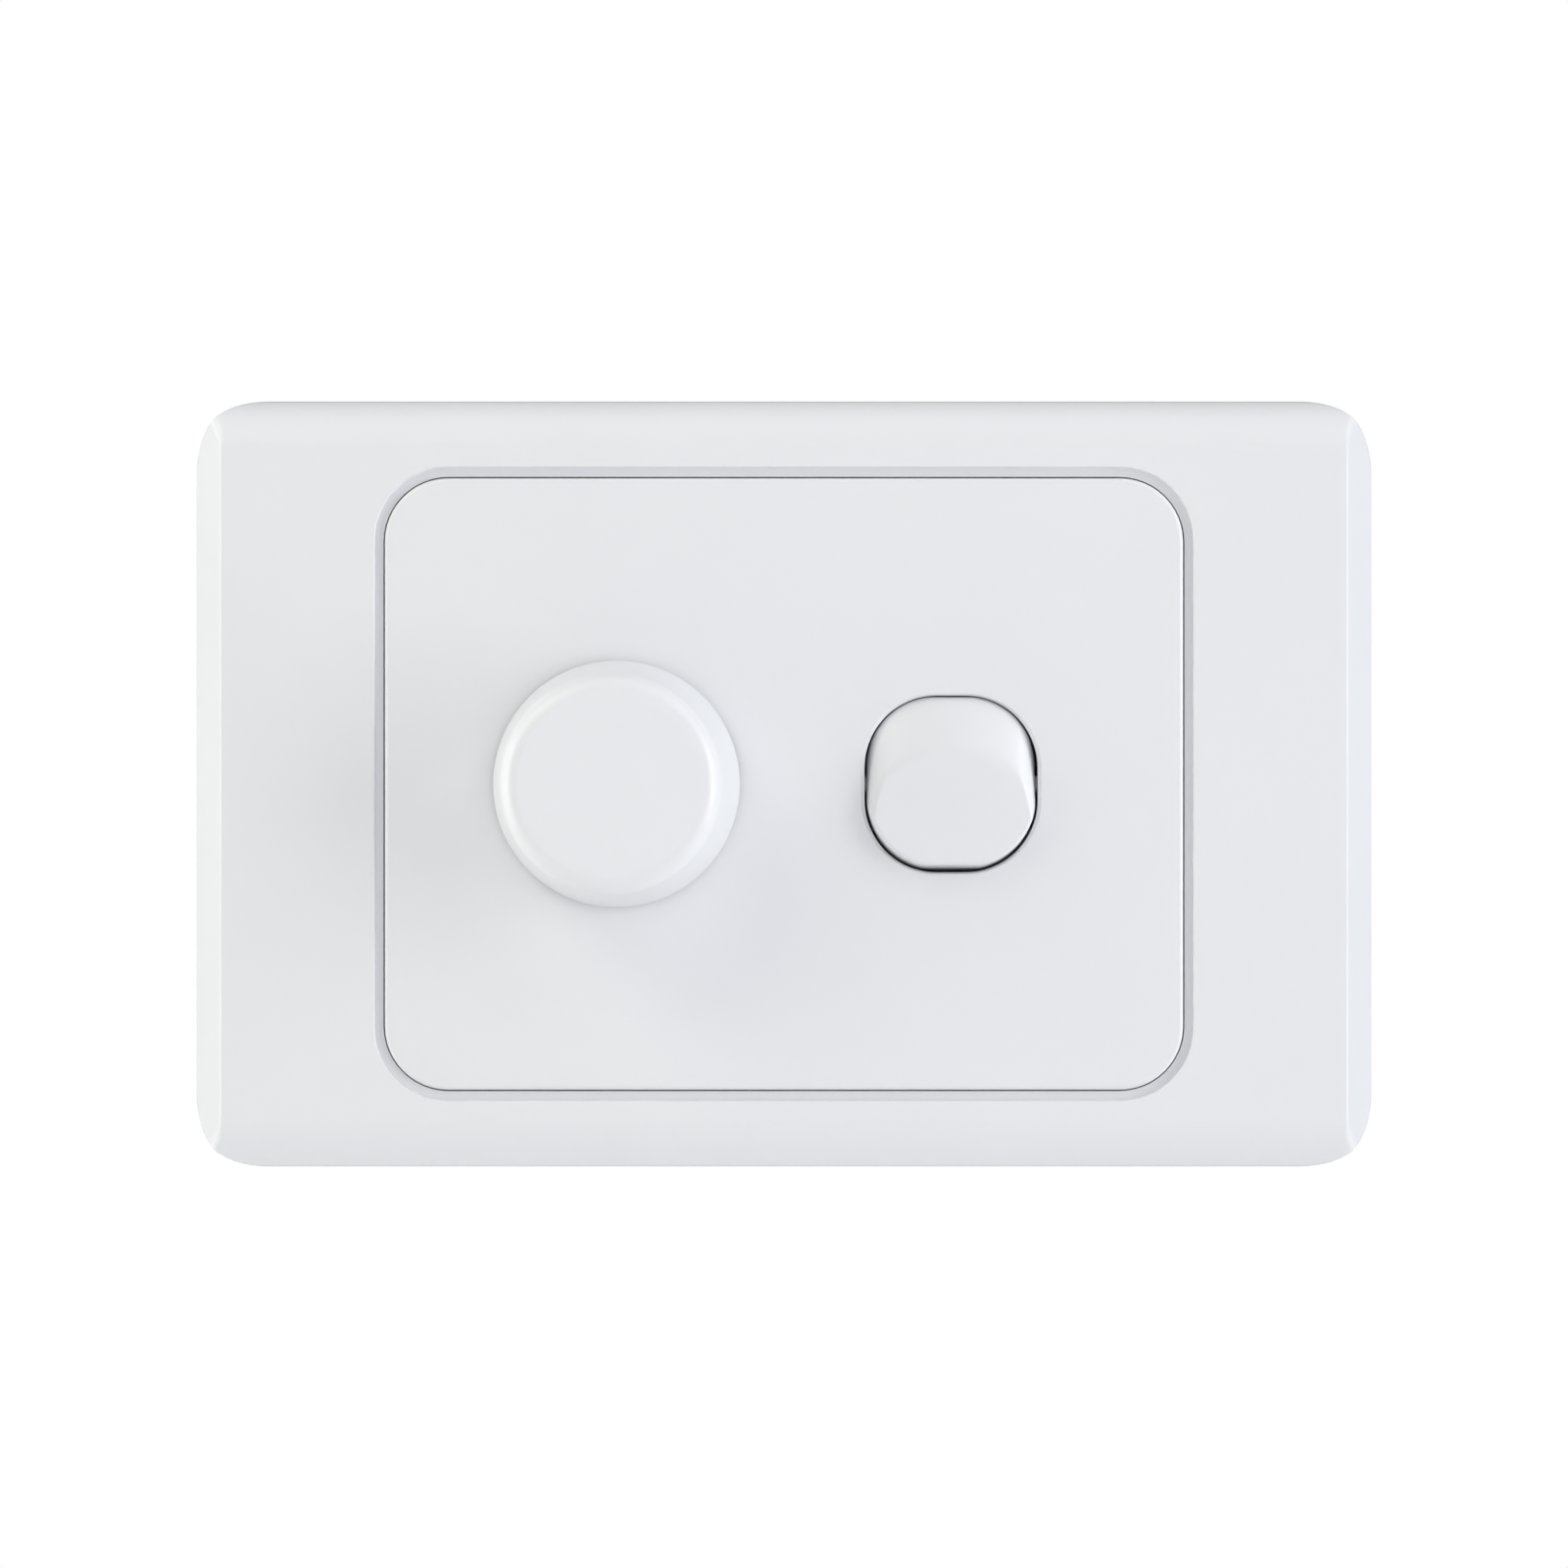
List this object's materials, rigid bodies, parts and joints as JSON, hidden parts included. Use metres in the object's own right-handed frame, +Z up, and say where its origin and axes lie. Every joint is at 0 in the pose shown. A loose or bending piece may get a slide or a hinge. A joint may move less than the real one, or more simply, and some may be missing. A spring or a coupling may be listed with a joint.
{
  "type": "dimmer and rocker switch plate",
  "caption": "Rectangular wall plate with a round dimmer knob and a rocker switch in a framed panel, with both mechanisms and their wire terminals behind.",
  "frame": {"origin": "centre of the plate on the wall surface", "axes": "+X to the right of the plate as seen from the room, +Z up, +Y into the wall"},
  "size_m": [0.117, 0.0549, 0.0762],
  "materials": {
    "plate_white": "satin",
    "knob_white": "satin",
    "rocker_white": "satin",
    "mechanism_white": "matte",
    "mechanism_grey": "matte",
    "spring_steel": "satin",
    "zinc_plated_steel": "satin",
    "brass": "satin",
    "silvered_metal": "satin",
    "aluminium": "satin",
    "phenolic_brown": "matte",
    "board_green": "satin",
    "ferrite": "matte",
    "copper_enamel": "gloss",
    "capacitor_red": "satin",
    "black_epoxy": "satin",
    "glass_bead": "gloss"
  },
  "bodies": {
    "frame": {"choke_core": "ferrite", "choke_winding": "copper_enamel", "circuit_board": "board_green", "common_contact": "brass", "diac": "glass_bead", "dimmer_housing": "mechanism_grey", "dimmer_rear_cover": "mechanism_grey", "dimmer_terminal_line": "brass", "dimmer_terminal_line_screw": "zinc_plated_steel", "dimmer_terminal_load": "brass", "dimmer_terminal_load_screw": "zinc_plated_steel", "film_capacitor": "capacitor_red", "fixed_contact_bottom": "brass", "fixed_contact_top": "brass", "fixed_rivet_bottom": "silvered_metal", "fixed_rivet_top": "silvered_metal", "fixing_screw_left": "zinc_plated_steel", "fixing_screw_right": "zinc_plated_steel", "fuse": "glass_bead", "grid_plate": "plate_white", "heat_sink": "aluminium", "pot_body": "zinc_plated_steel", "pot_bush": "zinc_plated_steel", "pot_nut": "zinc_plated_steel", "pot_track": "phenolic_brown", "pot_washer": "zinc_plated_steel", "resistor_1": "phenolic_brown", "resistor_2": "phenolic_brown", "switch_base": "mechanism_white", "switch_housing": "mechanism_white", "terminal_bottom": "brass", "terminal_bottom_screw": "zinc_plated_steel", "terminal_common": "brass", "terminal_common_screw": "zinc_plated_steel", "terminal_loop": "brass", "terminal_loop_screw": "zinc_plated_steel", "terminal_top": "brass", "terminal_top_screw": "zinc_plated_steel", "triac": "black_epoxy", "triac_screw": "zinc_plated_steel", "triac_tab": "silvered_metal"},
    "surround_cover": {"surround": "plate_white"},
    "knob": {"dimmer_knob": "knob_white", "pot_shaft": "aluminium", "pot_wiper": "phenolic_brown"},
    "rocker": {"rocker": "rocker_white", "plunger_spring": "spring_steel"},
    "plunger": {"plunger": "mechanism_grey"},
    "contact_arm": {"contact_arm": "brass", "moving_rivet_top": "silvered_metal", "moving_rivet_bottom": "silvered_metal"}
  },
  "joints": [
    {"name": "surround_release", "type": "slide", "parent": "frame", "child": "surround_cover", "axis": [0, -1, 0], "range_m": [0, 0.025]},
    {"name": "knob_turn", "type": "hinge", "parent": "frame", "child": "knob", "pos_m": [-0.01645, -0.0094, 0], "axis": [0, 1, 0], "range_deg": [0, 270]},
    {"name": "rocker_tilt", "type": "hinge", "parent": "frame", "child": "rocker", "pos_m": [0.01645, -0.0063, 0], "axis": [1, 0, 0], "range_deg": [0, 9]},
    {"name": "plunger_slide", "type": "slide", "parent": "rocker", "child": "plunger", "axis": [0, -0.9969, 0.0785], "range_m": [0, 0.0005], "stiffness_N_per_m": 300, "springref_m": -0.002, "deforming": ["plunger_spring"]},
    {"name": "contact_tilt", "type": "hinge", "parent": "frame", "child": "contact_arm", "pos_m": [0.01645, 0.0034, 0], "axis": [1, 0, 0], "range_deg": [-16, 0]}
  ],
  "couplings": [
    {"joint": "contact_tilt", "follows": "rocker_tilt", "ratio": -1.777}
  ]
}
